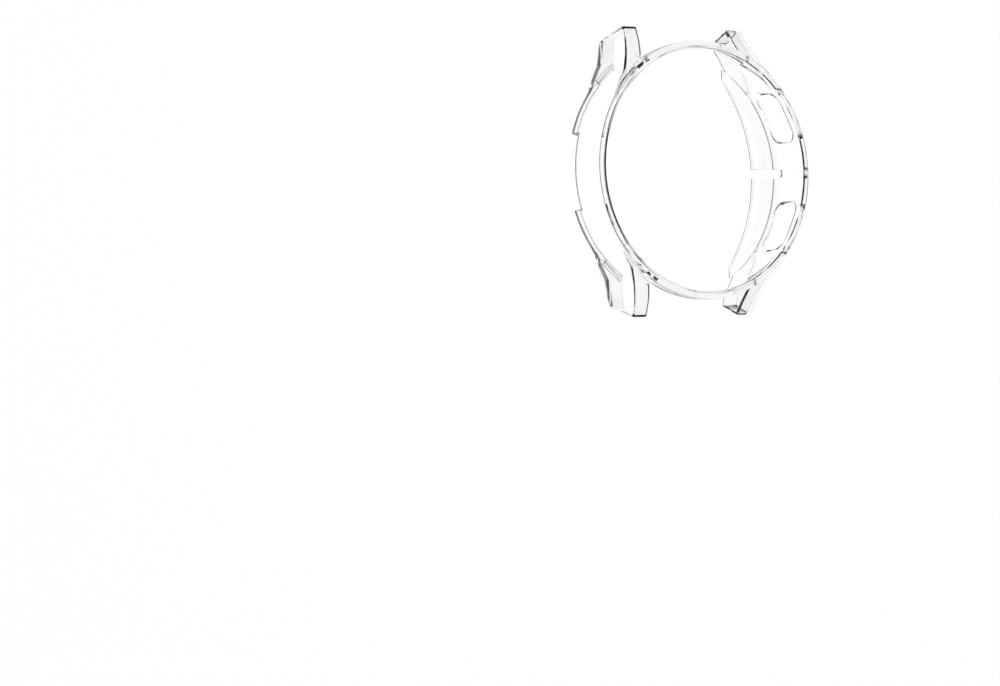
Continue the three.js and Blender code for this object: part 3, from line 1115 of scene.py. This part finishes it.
lip_turn = math.radians(LIP_BLEND_DEGREES)
for end_name, along in (("upper", 1), ("lower", -1)):
    lip = lip_skin(f"{end_name}_right_lip_skin", along)
    dress(lip, "clear_lip", f"{end_name}_right_rear_lip")
    toward = np.array([math.cos(lip_turn), along * math.sin(lip_turn), 0]) * METRES
    lip_start, lip_end = tuple(toward * BODY_R), tuple(toward * LIP_BLEND_R)
    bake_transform(lip)
    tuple(lip_start)
    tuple(lip_end)
    tab = tab_skin(f"{end_name}_left_tab_skin", along)
    dress(tab, "clear_lip", f"{end_name}_left_rear_tab")
    rib = rib_skin(f"{end_name}_left_rib", along)
    # The rib gets the darker copy of the elastomer, which paints shade inside the guard
    rib.data.materials.append(clear_rib_painted_shade)
    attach(rib, "left_side")
    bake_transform(tab)


# Stage: white floor, white sky with dark cards, soft lamp, and the camera at the photograph's view


def white_floor():
    low, high = -FLOOR_HALF, FLOOR_HALF
    mesh = bpy.data.meshes.new("floor")
    corners = [(x, y, FLOOR_Z) for x, y in ((low, low), (high, low), (high, high), (low, high))]
    mesh.from_pydata(corners, [], [(0, 1, 2, 3)])
    material = bpy.data.materials.new("white_floor")
    material.use_nodes = True
    surface = material.node_tree.nodes["Principled BSDF"]
    surface.inputs["Base Color"].default_value = (FLOOR_SHADE, FLOOR_SHADE, FLOOR_SHADE, 1)
    surface.inputs["Roughness"].default_value = 1
    surface.inputs["Specular IOR Level"].default_value = 0
    mesh.materials.append(material)
    return add_object("floor", mesh)


def studio_sky():
    """White sky with a dark horizon and a dark high card, seen in the case but no light on the floor."""
    world = bpy.data.worlds.new("studio")
    bpy.context.scene.world = world
    world.use_nodes = True
    nodes, links = world.node_tree.nodes, world.node_tree.links
    direction = nodes.new("ShaderNodeTexCoord")
    axes = nodes.new("ShaderNodeSeparateXYZ")
    links.new(direction.outputs["Generated"], axes.inputs["Vector"])

    def calculate(operation, *values):
        node = nodes.new("ShaderNodeMath")
        node.operation = operation
        for place, value in enumerate(values):
            if isinstance(value, (int, float)):
                node.inputs[place].default_value = value
            else:
                links.new(value, node.inputs[place])
        return node.outputs["Value"]

    def fade(value, low, high):
        node = nodes.new("ShaderNodeMapRange")
        node.interpolation_type = "SMOOTHSTEP"
        node.inputs["From Min"].default_value = low
        node.inputs["From Max"].default_value = high
        links.new(value, node.inputs["Value"])
        return node.outputs["Result"]

    def above(edge):
        return fade(axes.outputs["Z"], *(math.sin(math.radians(elevation)) for elevation in edge))

    azimuth = calculate("ABSOLUTE", calculate("ARCTAN2", axes.outputs["Y"], axes.outputs["X"]))
    beside_card = fade(azimuth, *(math.radians(side) for side in CARD_SIDE_EDGE))
    card_band = calculate("SUBTRACT", above(CARD_LOW_EDGE), above(CARD_HIGH_EDGE))
    high_card = calculate("MULTIPLY", card_band, calculate("SUBTRACT", 1, beside_card))
    horizon = calculate("SUBTRACT", 1, above(HORIZON_EDGE))
    dark = calculate("MAXIMUM", high_card, horizon)
    path = nodes.new("ShaderNodeLightPath")
    background = nodes["Background"]
    links.new(calculate("SUBTRACT", 1, dark), background.inputs["Color"])
    links.new(calculate("SUBTRACT", 1, path.outputs["Is Diffuse Ray"]), background.inputs["Strength"])


def soft_lamp(name, place, size, power):
    """Square lamp that faces the case and isn't seen in it."""
    lamp_data = bpy.data.lights.new(name, "AREA")
    lamp_data.shape = "SQUARE"
    lamp_data.size = size
    lamp_data.energy = power
    lamp = add_object(name, lamp_data)
    lamp.location = place
    lamp.rotation_mode = "QUATERNION"
    lamp.rotation_quaternion = Vector(place).to_track_quat("Z", "Y")
    lamp.visible_glossy = False
    lamp.visible_transmission = False


def photo_camera():
    """Camera at the photograph's view, with its axis off the picture's middle."""
    camera_data = bpy.data.cameras.new("camera")
    camera_data.sensor_width = SENSOR_WIDTH
    camera_data.lens = FOCAL_PIXELS / WIDTH_PIXELS * SENSOR_WIDTH
    camera_data.shift_x = -(AXIS_X_PIXELS - WIDTH_PIXELS / 2) / WIDTH_PIXELS
    camera_data.shift_y = (AXIS_Y_PIXELS - HEIGHT_PIXELS / 2) / WIDTH_PIXELS
    camera_data.clip_start = CLIP_START
    camera_data.clip_end = CLIP_END
    camera = add_object("camera", camera_data)
    turn = Matrix((RIGHT, UP, BACK)).transposed().normalized()
    eye = np.array([0, 0, AIM_Z]) * METRES + np.array(BACK) * CAMERA_DISTANCE
    camera.matrix_world = Matrix.Translation(tuple(eye)) @ turn.to_4x4()
    bpy.context.scene.camera = camera


floor = white_floor()
studio_sky()
soft_lamp("overhead_lamp", (0, 0, LAMP_HEIGHT), LAMP_SIZE, LAMP_POWER)
photo_camera()
bpy.context.scene.view_settings.view_transform = "Standard"

bpy.context.view_layer.update()
